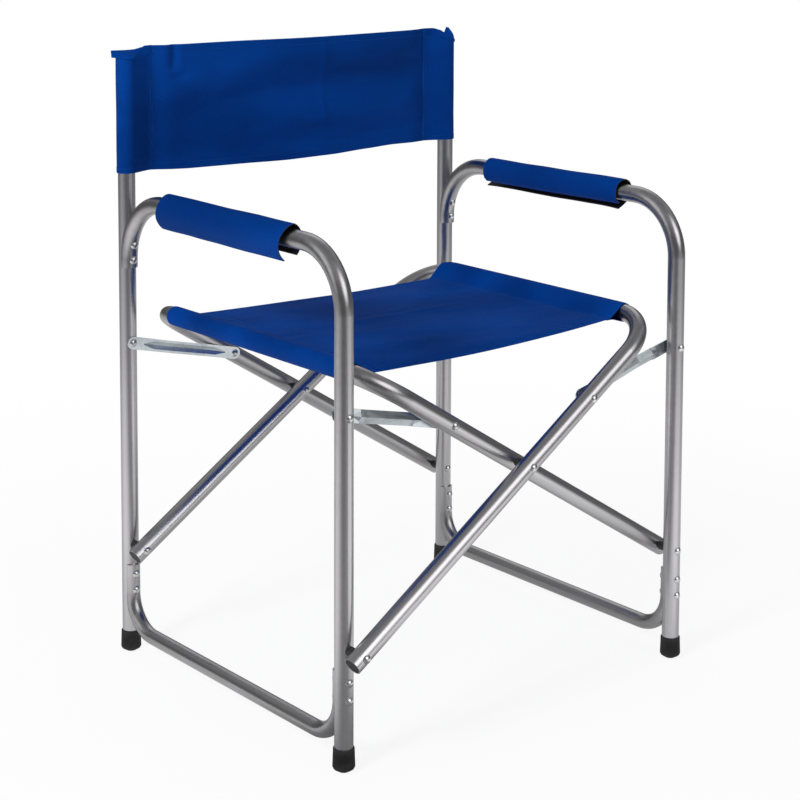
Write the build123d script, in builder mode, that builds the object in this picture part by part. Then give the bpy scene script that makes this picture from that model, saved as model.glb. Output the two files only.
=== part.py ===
"""Folding director chair: two tubular side frames, a scissor pair of seat hoops, links and a sling.

The origin is on the floor at the middle of the chair.  +X is the sitter's left-hand side seen
from the front of the chair, +Y points to the back and +Z up.  All sizes are in millimetres.
"""

import math
import os

from build123d import *

os.makedirs("parts", exist_ok=True)

# ---------------------------------------------------------------- driving dimensions
HALF_WIDTH = 266.0  # post axis from the middle of the chair, across
HALF_DEPTH = 228.0  # post axis from the middle of the chair, front to back
TUBE_R = 11.0  # posts, arms and seat hoops are 22 mm tube
WALL = 1.2
RAIL_R = 9.5  # bottom rails are 19 mm tube

POST_TOP = 772.0
TUBE_FOOT = 5.0  # the tubes stand on the 5 mm sole of the rubber feet
ARM_Z = 596.0  # axis of the armrest
FRONT_BEND_R = 72.0
REAR_BEND_R = 80.0
SADDLE_SHIFT = 4.0  # pressed saddle ends: their axis stands this far off the post axis
ARM_END_Z = 507.0
ARM_RIVETS_Z = (537.0, 517.0)

RAIL_Z = 32.5
RAIL_BEND_R = 48.0
RAIL_END_Z = 117.0
RAIL_RIVETS_Z = (105.0, 84.0)

PIVOT_Z = 143.0  # lower pivots, where the hoops join the frames
CROSS_Z = 306.0  # where the two hoops cross, at X = 0
PIVOT_OFFSET = 31.4  # hoop leg axis off the post axis, at the lower pivot
CROSS_OFFSET = 13.9  # hoop leg axis off the post plane, at the crossing
SEAT_RAIL_X = 232.0
HOOP_BEND_R = 66.5
LEG_OVERHANG = 15.0  # leg end past the lower pivot
PLUG_LENGTH = 10.0

LINK_POST_Z = 409.0
LINK_ALONG_LEG = 124.0  # from the crossing to the link rivet, along the leg
LINK_SHEET = 1.5
LINK_HALF_WIDTH = 8.0
RIDGE_HEIGHT = 4.8  # of the fold pressed into the link, over the inner face of its tabs
RIDGE_START = 32.0  # from the rivet to the full height of the fold
RIDGE_TAPER = 16.0
LINK_CLEARANCE = 0.15  # web of the link off the tube it is riveted to

RIVET_R = 2.5
RIVET_HEAD_R = 5.2
RIVET_HEAD = 2.8
HOLE_R = 2.56  # running fit on the rivets

FOOT_HEIGHT = 28.0
FOOT_TOP_R = 12.3
FOOT_BOTTOM_R = 13.1
FOOT_SOLE_R = 6.5  # flat of the domed sole

SEAT_SLEEVE_R = 12.2
SEAT_HALF_LENGTH = 178.0  # the sleeves run a little way round the bends of the hoops
SEAT_PANEL_THICK = 2.4
BACK_SLEEVE_R = 12.2
BACK_BOTTOM_Z = 626.0
BACK_TOP_Z = 786.0
BACK_PANEL_THICK = 2.4
BACK_PANEL_Y = HALF_DEPTH - 10.0
FABRIC_GAP = 0.2

ARM_COVER_HALF_LENGTH = 131.0
ARM_COVER_INNER = 12.3  # kept thin on the inner side, where the seat rail passes as it folds
ARM_COVER_OUTER = 18.0
ARM_COVER_ABOVE = 17.0
ARM_COVER_BELOW = 24.0

# ---------------------------------------------------------------- derived geometry
LEG_ANGLE = math.atan2(CROSS_Z - PIVOT_Z, HALF_WIDTH)
PIVOT_U = HALF_WIDTH / math.cos(LEG_ANGLE)  # pivot to crossing, along the leg
RAIL_U = SEAT_RAIL_X / math.cos(LEG_ANGLE)  # crossing to seat rail, along the leg
LEG_SKEW = (PIVOT_OFFSET - CROSS_OFFSET) / PIVOT_U  # sideways run of a leg per millimetre
RAIL_HEIGHT = CROSS_Z + RAIL_U * math.sin(LEG_ANGLE)
LINK_LEG_X = LINK_ALONG_LEG * math.cos(LEG_ANGLE)
LINK_LEG_Z = CROSS_Z + LINK_ALONG_LEG * math.sin(LEG_ANGLE)
LINK_RISE = LINK_POST_Z - LINK_LEG_Z
LINK_LENGTH = math.hypot(HALF_WIDTH - LINK_LEG_X, LINK_RISE)
LINK_TILT = math.degrees(math.atan2(LINK_RISE, HALF_WIDTH - LINK_LEG_X))

SIDES = (("left", -1), ("right", 1))
ENDS = (-1, 1)  # front and rear


def save(builder, name):
    """Labels a finished sub-part and writes its STEP file."""
    builder.part.label = name
    export_step(builder.part, f"parts/{name}.step")


def leg_y(u, end):
    """Y of a right-hoop leg axis at u millimetres above the crossing; end is -1 front, +1 rear."""
    return end * HALF_DEPTH - CROSS_OFFSET + LEG_SKEW * u


def cross_drill(points):
    """Cutter for rivet holes along Y through everything, at (x, z) points."""
    with BuildPart() as drill:
        with BuildSketch(Plane.XZ):
            with Locations(*points):
                Circle(HOLE_R)
        extrude(amount=400, both=True)
    return drill.part


def make_head(skirt):
    """Domed rivet head facing -Y, its seat at y = 0, with a skirt below to be cut to a tube."""
    sphere_r = (RIVET_HEAD_R**2 + RIVET_HEAD**2) / (2 * RIVET_HEAD)
    mid_x = RIVET_HEAD_R * 0.7
    mid_y = sphere_r - RIVET_HEAD - math.sqrt(sphere_r**2 - mid_x**2)
    with BuildPart() as head:
        with BuildSketch(Plane.XY):
            with BuildLine():
                Polyline((0, -RIVET_HEAD), (0, skirt), (RIVET_HEAD_R, skirt))
                if skirt:
                    Line((RIVET_HEAD_R, skirt), (RIVET_HEAD_R, 0))
                ThreePointArc((RIVET_HEAD_R, 0), (mid_x, mid_y), (0, -RIVET_HEAD))
            make_face()
        revolve(axis=Axis.Y)
    return head.part


hugging_head = make_head(1.3)
flat_head = make_head(0)


def make_shank(start_y, end_y):
    """Rivet shank along Y from start_y to end_y."""
    with BuildPart() as shank:
        with BuildSketch(Plane.XZ.offset(-start_y)):
            Circle(RIVET_R)
        extrude(amount=start_y - end_y)
    return shank.part


def rivet_group(rivets, outlines):
    """Rivets along Y, each (x, z, front seat y, rear seat y, front head, rear head).

    The heads are cut to the tube outlines they sit on.  A head of None leaves that end flush.
    """
    shanks = []
    for x, z, front_y, rear_y, front_head, rear_head in rivets:
        start_y = front_y - 0.5 if front_head else front_y
        end_y = rear_y + 0.5 if rear_head else rear_y
        shanks.append(make_shank(start_y, end_y).translate((x, 0, z)))
    with BuildPart() as group:
        for x, z, front_y, rear_y, front_head, rear_head in rivets:
            if front_head:
                add(front_head.translate((x, front_y, z)))
            if rear_head:
                add(rear_head.rotate(Axis.Z, 180).translate((x, rear_y, z)))
        for outline in outlines:
            add(outline, mode=Mode.SUBTRACT)
        for shank in shanks:
            add(shank)
    return group


def make_spacer(start_y, end_y, radius):
    """Plain round spacer on a rivet, along Y from start_y to end_y."""
    with BuildPart() as spacer:
        with BuildSketch(Plane.XZ.offset(-start_y)):
            Circle(radius)
            Circle(HOLE_R, mode=Mode.SUBTRACT)
        extrude(amount=start_y - end_y)
    return spacer.part


def post_cylinder(x, y, radius=TUBE_R):
    """The full round outline of a vertical tube, for cutting the parts that sit against it."""
    with BuildPart() as outline:
        with BuildSketch(Plane.XY.offset(-10)):
            with Locations((x, y)):
                Circle(radius)
        extrude(amount=900)
    return outline.part


# ---------------------------------------------------------------- side frames
for side, s in SIDES:
    post_x = s * HALF_WIDTH
    side_plane = Plane(origin=(post_x, 0, 0), x_dir=(0, 1, 0), z_dir=(1, 0, 0))
    front_outline = post_cylinder(post_x, -HALF_DEPTH, TUBE_R + 0.02)
    rear_outline = post_cylinder(post_x, HALF_DEPTH, TUBE_R + 0.02)
    post_holes_z = (PIVOT_Z, LINK_POST_Z) + RAIL_RIVETS_Z + ARM_RIVETS_Z
    post_drill = cross_drill([(post_x, z) for z in post_holes_z])

    # rear post: straight tube from the rubber foot to the top of the backrest
    with BuildPart() as rear_post:
        with BuildSketch(Plane.XY.offset(TUBE_FOOT)):
            with Locations((post_x, HALF_DEPTH)):
                Circle(TUBE_R)
                Circle(TUBE_R - WALL, mode=Mode.SUBTRACT)
        extrude(amount=POST_TOP - TUBE_FOOT)
        add(post_drill, mode=Mode.SUBTRACT)
    save(rear_post, f"{side}_rear_post")

    # front post and armrest: one tube, its rear end pressed into a saddle on the rear post
    with BuildPart() as arm_outline:
        with BuildLine(side_plane) as arm_path:
            FilletPolyline(
                (-HALF_DEPTH, TUBE_FOOT),
                (-HALF_DEPTH, ARM_Z),
                (HALF_DEPTH - SADDLE_SHIFT, ARM_Z),
                (HALF_DEPTH - SADDLE_SHIFT, ARM_END_Z),
                radius=(FRONT_BEND_R, REAR_BEND_R),
            )
        with BuildSketch(Plane(origin=arm_path.line @ 0, z_dir=arm_path.line % 0)):
            Circle(TUBE_R)
        sweep(path=arm_path.line)
    front_drill = cross_drill([(post_x, z) for z in post_holes_z if z < ARM_END_Z])
    arm_drill = cross_drill([(post_x, z) for z in ARM_RIVETS_Z]).translate((0, 400, 0))
    with BuildPart() as arm_tube:
        add(arm_outline.part)
        with BuildLine(side_plane) as bore_path:
            FilletPolyline(
                (-HALF_DEPTH, TUBE_FOOT),
                (-HALF_DEPTH, ARM_Z),
                (HALF_DEPTH - SADDLE_SHIFT - REAR_BEND_R, ARM_Z),
                radius=FRONT_BEND_R,
            )
        with BuildSketch(Plane(origin=bore_path.line @ 0, z_dir=bore_path.line % 0)):
            Circle(TUBE_R - WALL)
        sweep(path=bore_path.line, mode=Mode.SUBTRACT)
        add(rear_outline, mode=Mode.SUBTRACT)
        add(front_drill, mode=Mode.SUBTRACT)
        add(arm_drill, mode=Mode.SUBTRACT)
    save(arm_tube, f"{side}_arm_tube")

    # bottom rail: both ends bent up and pressed into saddles between the posts
    saddle_y = HALF_DEPTH - SADDLE_SHIFT - 1.5
    with BuildPart() as rail_outline:
        with BuildLine(side_plane) as rail_path:
            FilletPolyline(
                (-saddle_y, RAIL_END_Z),
                (-saddle_y, RAIL_Z),
                (saddle_y, RAIL_Z),
                (saddle_y, RAIL_END_Z),
                radius=RAIL_BEND_R,
            )
        with BuildSketch(Plane(origin=rail_path.line @ 0, z_dir=rail_path.line % 0)):
            Circle(RAIL_R)
        sweep(path=rail_path.line)
    bore_half = saddle_y - RAIL_BEND_R
    with BuildPart() as bottom_rail:
        add(rail_outline.part)
        with BuildSketch(Plane.XZ.offset(bore_half)):
            with Locations((post_x, RAIL_Z)):
                Circle(RAIL_R - WALL)
        extrude(amount=-2 * bore_half, mode=Mode.SUBTRACT)
        add(front_outline, mode=Mode.SUBTRACT)
        add(rear_outline, mode=Mode.SUBTRACT)
        add(post_drill, mode=Mode.SUBTRACT)
    save(bottom_rail, f"{side}_bottom_rail")

    # rubber feet: tapered cups with a domed sole
    with BuildPart() as feet:
        with BuildSketch(Plane.XZ):
            with BuildLine():
                Polyline(
                    (0, 0),
                    (FOOT_SOLE_R, 0),
                    (FOOT_BOTTOM_R - 1.2, 3.4),
                    (FOOT_BOTTOM_R, 5.8),
                    (FOOT_TOP_R + 0.1, FOOT_HEIGHT - 1.2),
                    (FOOT_TOP_R - 0.5, FOOT_HEIGHT),
                    (TUBE_R + 0.03, FOOT_HEIGHT),
                    (TUBE_R + 0.03, TUBE_FOOT),
                    (0, TUBE_FOOT),
                    close=True,
                )
            make_face()
        revolve(axis=Axis.Z)
        foot = feet.part
    with BuildPart() as foot_pair:
        with Locations((post_x, -HALF_DEPTH, 0), (post_x, HALF_DEPTH, 0)):
            add(foot)
    save(foot_pair, f"{side}_feet")

    # cap in the open top of the rear post
    with BuildPart() as post_cap:
        with BuildSketch(Plane.XY.offset(POST_TOP - 14)):
            with Locations((post_x, HALF_DEPTH)):
                Circle(TUBE_R - WALL - 0.05)
        extrude(amount=14)
        with BuildSketch(Plane.XY.offset(POST_TOP)):
            with Locations((post_x, HALF_DEPTH)):
                Circle(TUBE_R)
        extrude(amount=3)
        fillet(post_cap.edges().group_by(Axis.Z)[-1], radius=2)
    save(post_cap, f"{side}_post_cap")

    # two rivets through the arm saddle and the rear post
    front_face = -HALF_DEPTH - TUBE_R
    rear_face = HALF_DEPTH + TUBE_R
    arm_rivet_list = []
    for z in ARM_RIVETS_Z:
        over_bend = max(0.0, z - (ARM_Z - REAR_BEND_R))
        bend_back = REAR_BEND_R - math.sqrt(REAR_BEND_R**2 - over_bend**2)
        seat_y = HALF_DEPTH - SADDLE_SHIFT - TUBE_R - bend_back
        arm_rivet_list.append((post_x, z, seat_y, rear_face, hugging_head, hugging_head))
    arm_rivets = rivet_group(arm_rivet_list, [arm_outline.part, rear_outline])
    save(arm_rivets, f"{side}_arm_rivets")

    # four rivets through the rail saddles and the posts
    rail_face = saddle_y - RAIL_R
    rail_rivet_list = []
    for z in RAIL_RIVETS_Z:
        rail_rivet_list.append((post_x, z, front_face, -rail_face, hugging_head, hugging_head))
        rail_rivet_list.append((post_x, z, rail_face, rear_face, hugging_head, hugging_head))
    rail_rivets = rivet_group(rail_rivet_list, [rail_outline.part, front_outline, rear_outline])
    save(rail_rivets, f"{side}_rail_rivets")

    # lower pivots: the hoop legs pass in front of the left posts and behind the right posts
    pivot_rivet_list = []
    spacers = []
    for end in ENDS:
        axis_y = end * HALF_DEPTH
        post_seat = axis_y - s * TUBE_R
        leg_seat = axis_y + s * (PIVOT_OFFSET + TUBE_R + 0.3)
        heads = (flat_head, hugging_head) if s < 0 else (hugging_head, flat_head)
        seats = sorted((post_seat, leg_seat))
        pivot_rivet_list.append((post_x, PIVOT_Z, *seats, *heads))
        ends_y = sorted((axis_y + s * (TUBE_R - 1.5), axis_y + s * (PIVOT_OFFSET - TUBE_R - 0.4)))
        spacers.append(make_spacer(*ends_y, 5.6).translate((post_x, 0, PIVOT_Z)))
    pivot_rivets = rivet_group(pivot_rivet_list, [front_outline, rear_outline])
    save(pivot_rivets, f"{side}_pivot_rivets")

    # plastic spacers on the pivot rivets, hollowed to sit on the posts
    with BuildPart() as pivot_spacers:
        for spacer in spacers:
            add(spacer)
        add(front_outline, mode=Mode.SUBTRACT)
        add(rear_outline, mode=Mode.SUBTRACT)
    save(pivot_spacers, f"{side}_pivot_spacers")

    # rivets that hold the links on the inner faces of the posts
    link_face = HALF_DEPTH - TUBE_R - LINK_CLEARANCE - LINK_SHEET
    link_rivet_list = [
        (post_x, LINK_POST_Z, front_face, -link_face + 0.1, hugging_head, flat_head),
        (post_x, LINK_POST_Z, link_face - 0.1, rear_face, flat_head, hugging_head),
    ]
    link_rivets = rivet_group(link_rivet_list, [front_outline, rear_outline])
    save(link_rivets, f"{side}_link_rivets")

    # fabric cover over the straight of the armrest
    with BuildPart() as arm_cover:
        with BuildSketch(Plane.XZ.offset(ARM_COVER_HALF_LENGTH)):
            with BuildLine():
                top = (post_x, ARM_Z + ARM_COVER_ABOVE)
                bottom = (post_x, ARM_Z - ARM_COVER_BELOW)
                inner = (post_x - s * ARM_COVER_INNER, ARM_Z)
                outer = (post_x + s * ARM_COVER_OUTER, ARM_Z)
                Spline(top, inner, bottom, tangents=[(-s, 0), (s, 0)])
                Spline(bottom, outer, top, tangents=[(s, 0), (-s, 0)])
            make_face()
            with Locations((post_x, ARM_Z)):
                Circle(TUBE_R + 0.1, mode=Mode.SUBTRACT)
        extrude(amount=-2 * ARM_COVER_HALF_LENGTH)
    save(arm_cover, f"{side}_arm_cover")

    # back sleeve: the hemmed edge of the backrest, wrapped round the rear post
    with BuildPart() as back_sleeve:
        with BuildSketch(Plane.XY.offset(BACK_BOTTOM_Z)):
            with Locations((post_x, HALF_DEPTH)):
                Circle(BACK_SLEEVE_R)
                Circle(TUBE_R + 0.1, mode=Mode.SUBTRACT)
        extrude(amount=BACK_TOP_Z - BACK_BOTTOM_Z)
    save(back_sleeve, f"{side}_back_sleeve")

# ---------------------------------------------------------------- seat hoops
hoop_plane = Plane(
    origin=(0, 0, CROSS_Z),
    x_dir=(math.cos(LEG_ANGLE), 0, math.sin(LEG_ANGLE)),
    z_dir=(-math.sin(LEG_ANGLE), 0, math.cos(LEG_ANGLE)),
)
leg_start_u = -PIVOT_U - LEG_OVERHANG
hoop_drill = cross_drill([(-HALF_WIDTH, PIVOT_Z), (0, CROSS_Z), (LINK_LEG_X, LINK_LEG_Z)])

# The right hoop carries the right-hand seat rail and pivots on the left posts.  The left hoop is
# the same part turned half round.
with BuildPart() as hoop_outline:
    with BuildLine(hoop_plane) as hoop_path:
        FilletPolyline(
            (leg_start_u, leg_y(leg_start_u, -1)),
            (RAIL_U, leg_y(RAIL_U, -1)),
            (RAIL_U, leg_y(RAIL_U, 1)),
            (leg_start_u, leg_y(leg_start_u, 1)),
            radius=HOOP_BEND_R,
        )
    with BuildSketch(Plane(origin=hoop_path.line @ 0, z_dir=hoop_path.line % 0)):
        Circle(TUBE_R)
    sweep(path=hoop_path.line)
with BuildPart() as right_hoop:
    add(hoop_outline.part)
    with BuildSketch(Plane(origin=hoop_path.line @ 0, z_dir=hoop_path.line % 0)):
        Circle(TUBE_R - WALL)
    sweep(path=hoop_path.line, mode=Mode.SUBTRACT)
    add(hoop_drill, mode=Mode.SUBTRACT)

# plastic plugs in the cut ends of the legs: cups that open towards the tube
with BuildPart() as right_plugs:
    for t, inward in ((0, 1), (1, -1)):
        end_point = hoop_path.line @ t
        end_dir = (hoop_path.line % t) * inward
        with BuildSketch(Plane(origin=end_point + end_dir * 0.5, z_dir=end_dir)):
            Circle(TUBE_R - WALL - 0.05)
        extrude(amount=PLUG_LENGTH)
        with BuildSketch(Plane(origin=end_point + end_dir * 3.0, z_dir=end_dir)):
            Circle(TUBE_R - WALL - 2.0)
        extrude(amount=PLUG_LENGTH, mode=Mode.SUBTRACT)

# sleeve of the sling round the seat rail, and the room that the seat panel leaves for it
with BuildPart() as right_seat_sleeve:
    with BuildSketch(Plane(origin=hoop_path.line @ 0, z_dir=hoop_path.line % 0)):
        Circle(SEAT_SLEEVE_R)
        Circle(TUBE_R + 0.1, mode=Mode.SUBTRACT)
    sweep(path=hoop_path.line)
    with Locations((SEAT_RAIL_X, 0, RAIL_HEIGHT)):
        Box(4 * SEAT_SLEEVE_R, 2 * SEAT_HALF_LENGTH, 4 * SEAT_SLEEVE_R, mode=Mode.INTERSECT)
with BuildPart() as sleeve_room:
    with BuildSketch(Plane(origin=hoop_path.line @ 0, z_dir=hoop_path.line % 0)):
        Circle(SEAT_SLEEVE_R + FABRIC_GAP)
    sweep(path=hoop_path.line)

# rivets through each leg, opposite the ends of the links; their inner ends are flush
front_leg_y = leg_y(LINK_ALONG_LEG, -1)
rear_leg_y = leg_y(LINK_ALONG_LEG, 1)
leg_rivet_list = [
    (LINK_LEG_X, LINK_LEG_Z, front_leg_y - TUBE_R, front_leg_y + TUBE_R - 0.2, hugging_head, None),
    (LINK_LEG_X, LINK_LEG_Z, rear_leg_y - TUBE_R + 0.2, rear_leg_y + TUBE_R, None, hugging_head),
]
right_leg_rivets = rivet_group(leg_rivet_list, [hoop_outline.part])

for builder, name in (
    (right_hoop, "seat_hoop"),
    (right_plugs, "hoop_plugs"),
    (right_seat_sleeve, "seat_sleeve"),
    (right_leg_rivets, "leg_rivets"),
):
    save(builder, f"right_{name}")
    with BuildPart() as turned:
        add(builder.part.rotate(Axis.Z, 180))
    save(turned, f"left_{name}")

# rivets where the two hoops cross, and the plastic spacers between the legs
cross_reach = CROSS_OFFSET + TUBE_R
cross_rivet_list = []
for end in ENDS:
    axis_y = end * HALF_DEPTH
    seats = (axis_y - cross_reach, axis_y + cross_reach + 0.3)
    cross_rivet_list.append((0, CROSS_Z, *seats, hugging_head, flat_head))
cross_rivets = rivet_group(cross_rivet_list, [hoop_outline.part])
save(cross_rivets, "cross_rivets")

cross_half_gap = CROSS_OFFSET - TUBE_R - 0.4
with BuildPart() as cross_spacers:
    for end in ENDS:
        with BuildSketch(Plane.XZ.offset(-end * HALF_DEPTH)):
            with Locations((0, CROSS_Z)):
                Circle(6.0)
                Circle(HOLE_R, mode=Mode.SUBTRACT)
        extrude(amount=cross_half_gap, both=True)
save(cross_spacers, "cross_spacers")

# ---------------------------------------------------------------- links
# Each link is pressed sheet: a lengthwise fold between two flat round tabs.  The post tab lies
# against the post; the leg tab clears the hoop leg, at a different level on the two diagonals.
LINK_POST_LEVEL = TUBE_R + LINK_CLEARANCE
NEAR_TAB_LEVEL = 6.0  # front right and rear left, where the leg is on the outer side
FAR_TAB_LEVEL = 19.4  # front left and rear right, where the leg is on the inner side
FOLD_SLOPE = RIDGE_HEIGHT / LINK_HALF_WIDTH
GROOVE_INSET = LINK_SHEET * math.sqrt(1 + FOLD_SLOPE**2)


def fold_profile(x, level, size, groove):
    """Section at x of the fold that points to the outer side, or of the groove behind it."""
    height = (RIDGE_HEIGHT - (GROOVE_INSET if groove else 0)) * size
    half = height / FOLD_SLOPE
    base = -0.1 if groove else 0
    face = level + LINK_SHEET
    with BuildSketch(Plane(origin=(x, face, 0), x_dir=(0, 0, 1), z_dir=(1, 0, 0))) as profile:
        with BuildLine():
            Polyline((half, base), (0, height), (-half, base), close=True)
        make_face()
    return profile.sketch


def folded_bar(tab_level, ridge_end, path, groove):
    """Fold or groove along a link: full size along the path, tapering towards both rivets."""
    with BuildPart() as bar:
        add(fold_profile(RIDGE_START, LINK_POST_LEVEL, 1.0, groove))
        sweep(path=path)
        for x, outward, level in ((RIDGE_START, -1, LINK_POST_LEVEL), (ridge_end, 1, tab_level)):
            full = fold_profile(x, level, 1.0, groove)
            tip = fold_profile(x + outward * RIDGE_TAPER, level, 0.2, groove)
            loft(sections=[tip, full] if outward < 0 else [full, tip])
    return bar.part


def make_link(tab_level, tab_length, tab_flat, slope_run):
    """Link along +X from the post rivet to the leg rivet; +Y is the inner side."""
    ridge_end = LINK_LENGTH - tab_length
    slope_end = LINK_LENGTH - tab_flat
    slope_start = slope_end - slope_run
    with BuildLine(Plane.XY) as ridge_path:
        FilletPolyline(
            (RIDGE_START, LINK_POST_LEVEL),
            (slope_start, LINK_POST_LEVEL),
            (slope_end, tab_level),
            (ridge_end, tab_level),
            radius=40,
        )
    with BuildPart() as link:
        add(folded_bar(tab_level, ridge_end, ridge_path.line, False))
        for tab_x, inboard, level in ((0, RIDGE_START, LINK_POST_LEVEL), (LINK_LENGTH, -tab_length, tab_level)):
            with BuildSketch(Plane.XZ.offset(-level)):
                with Locations((tab_x, 0)):
                    Circle(LINK_HALF_WIDTH)
                with Locations((tab_x + inboard / 2, 0)):
                    Rectangle(abs(inboard), 2 * LINK_HALF_WIDTH)
            extrude(amount=-LINK_SHEET)
        add(folded_bar(tab_level, ridge_end, ridge_path.line, True), mode=Mode.SUBTRACT)
        with BuildSketch(Plane.XZ):
            Circle(HOLE_R)
            with Locations((LINK_LENGTH, 0)):
                Circle(HOLE_R)
        extrude(amount=-60, mode=Mode.SUBTRACT)
    return link.part


def make_button(tab_level):
    """Rivet tail on the inner face of a link tab, at the leg end of the link."""
    face = tab_level + LINK_SHEET
    tail = flat_head.rotate(Axis.Z, 180).translate((LINK_LENGTH, face, 0))
    stub = make_shank(tab_level + 0.1, face + 0.5).translate((LINK_LENGTH, 0, 0))
    with BuildPart() as button:
        add(tail)
        add(stub)
    return button.part


def place_link(shape, side, end):
    """Puts a link shape on its post: side is -1 left, +1 right; end is -1 front, +1 rear."""
    turned = shape.rotate(Axis.Y, LINK_TILT)
    if side > 0:
        turned = turned.mirror(Plane.YZ)
    if end > 0:
        turned = turned.mirror(Plane.XZ)
    return turned.translate((side * HALF_WIDTH, end * HALF_DEPTH, LINK_POST_Z))


far_link = make_link(FAR_TAB_LEVEL, 45.0, 50.0, 76.0)  # long tab: it slides over the leg mid-fold
near_link = make_link(NEAR_TAB_LEVEL, RIDGE_START, 46.0, 60.0)
far_button = make_button(FAR_TAB_LEVEL)
near_button = make_button(NEAR_TAB_LEVEL)
for side, s in SIDES:
    for end_name, end in (("front", -1), ("rear", 1)):
        shape = far_link if s * end > 0 else near_link
        with BuildPart() as link:
            add(place_link(shape, s, end))
        save(link, f"{side}_{end_name}_link")
    with BuildPart() as buttons:
        for end in ENDS:
            add(place_link(far_button if s * end > 0 else near_button, s, end))
    save(buttons, f"{side}_link_buttons")

# ---------------------------------------------------------------- sling seat and back panels
with BuildPart() as seat_panel:
    with Locations((0, 0, RAIL_HEIGHT)):
        Box(2 * (SEAT_RAIL_X - SEAT_SLEEVE_R), 2 * SEAT_HALF_LENGTH, SEAT_PANEL_THICK)
    add(sleeve_room.part, mode=Mode.SUBTRACT)
    add(sleeve_room.part.rotate(Axis.Z, 180), mode=Mode.SUBTRACT)
save(seat_panel, "seat_panel")

back_half = HALF_WIDTH - BACK_SLEEVE_R - FABRIC_GAP
with BuildPart() as back_panel:
    with BuildSketch(Plane.XZ.offset(-BACK_PANEL_Y + BACK_PANEL_THICK / 2)):
        with Locations((0, (BACK_BOTTOM_Z + BACK_TOP_Z) / 2)):
            Rectangle(2 * back_half, BACK_TOP_Z - BACK_BOTTOM_Z)
    extrude(amount=-BACK_PANEL_THICK)
save(back_panel, "back_panel")
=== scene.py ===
"""Looks for the folding aluminium director chair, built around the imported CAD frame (metres, +Z up)."""
import math

import bmesh
import bpy
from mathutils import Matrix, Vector, noise


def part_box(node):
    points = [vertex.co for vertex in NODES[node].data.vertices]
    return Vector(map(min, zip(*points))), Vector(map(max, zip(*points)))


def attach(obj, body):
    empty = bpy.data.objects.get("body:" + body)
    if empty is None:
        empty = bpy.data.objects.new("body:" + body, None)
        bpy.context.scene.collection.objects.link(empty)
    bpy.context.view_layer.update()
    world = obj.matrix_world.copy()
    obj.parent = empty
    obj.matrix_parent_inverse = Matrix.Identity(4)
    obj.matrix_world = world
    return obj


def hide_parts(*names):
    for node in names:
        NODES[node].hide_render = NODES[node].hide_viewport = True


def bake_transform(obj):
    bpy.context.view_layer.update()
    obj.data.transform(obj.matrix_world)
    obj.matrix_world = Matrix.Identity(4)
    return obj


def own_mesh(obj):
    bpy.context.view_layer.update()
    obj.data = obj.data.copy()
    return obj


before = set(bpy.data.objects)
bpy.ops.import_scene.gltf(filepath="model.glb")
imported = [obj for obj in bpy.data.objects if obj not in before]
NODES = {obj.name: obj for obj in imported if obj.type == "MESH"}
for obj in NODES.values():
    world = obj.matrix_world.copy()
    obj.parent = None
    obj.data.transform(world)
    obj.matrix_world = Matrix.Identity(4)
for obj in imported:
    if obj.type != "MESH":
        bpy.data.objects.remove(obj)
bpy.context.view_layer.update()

MM = 0.001
FABRIC = 1.0 * MM  # thickness of the canvas
SEAM_GAP = 1.15 * MM  # between the middles of two layers of canvas that are sewn together
STITCH_PITCH = 4.2 * MM
STITCH_LENGTH = 3.0 * MM
STITCH_R = 0.34 * MM
STITCH_SIDES = 6
STITCH_PROFILE = ((-0.5, 0.35), (-0.3, 1.0), (0.3, 1.0), (0.5, 0.35))  # share of length, share of radius


# ---------------------------------------------------------------- numbers taken from the CAD frame
SLEEVE_CAD_R = 12.2 * MM
LEG_ANGLE = math.radians(31.5)  # of the hoop legs over the floor, at rest
BEND_R = 66.5 * MM  # of the hoops, in their own plane
BEND_START = 163.0 * MM  # distance from the middle of a seat rail to its bends
ARM_COVER_RISE = 17.0 * MM  # from the arm's axis to the top of its cover


def middle(node):
    lo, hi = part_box(node)
    return (lo + hi) / 2


def rail_axis(side):
    """x and z of a seat rail's axis, from the sleeve that the CAD puts round it."""
    lo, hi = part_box(f"{side}_seat_sleeve")
    x = hi.x - SLEEVE_CAD_R if side == "right" else lo.x + SLEEVE_CAD_R
    return x, hi.z - SLEEVE_CAD_R


RAIL_X, RAIL_Z = rail_axis("right")
POST_X = middle("right_rear_post").x
POST_Y = middle("right_rear_post").y
ARM_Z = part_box("left_arm_cover")[1].z - ARM_COVER_RISE


# ---------------------------------------------------------------- small maths
def lerp(a, b, t):
    return a + (b - a) * t


def smooth(t):
    t = min(max(t, 0.0), 1.0)
    return t * t * (3 - 2 * t)


def bump(t, centre, width):
    """A smooth hill, 1 at centre and 0 from width away."""
    d = abs(t - centre) / width
    return (1 - smooth(d)) if d < 1 else 0.0


def table_value(table, x):
    """Smooth interpolation in a sorted list of (x, value)."""
    if x <= table[0][0]:
        return table[0][1]
    for (x0, v0), (x1, v1) in zip(table, table[1:]):
        if x <= x1:
            return lerp(v0, v1, smooth((x - x0) / (x1 - x0)) * 0.5 + 0.5 * (x - x0) / (x1 - x0))
    return table[-1][1]


def wobble(x, y, scale, seed):
    return noise.noise(Vector((x * scale, y * scale, seed)))


def catmull_rom(a, b, c, d, t):
    linear = (c - a) * t
    square = (2 * a - 5 * b + 4 * c - d) * t * t
    cube = (3 * b - a - 3 * c + d) * t**3
    return 0.5 * (2 * b + linear + square + cube)


def rounded(points, steps):
    """Smooth curve through 2-D points."""
    out = []
    last = len(points) - 1
    for i in range(last):
        p0, p1 = points[max(i - 1, 0)], points[i]
        p2, p3 = points[i + 1], points[min(i + 2, last)]
        for k in range(steps):
            t = k / steps
            out.append(tuple(catmull_rom(a, b, c, d, t) for a, b, c, d in zip(p0, p1, p2, p3)))
    out.append(tuple(points[-1]))
    return out


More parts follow.
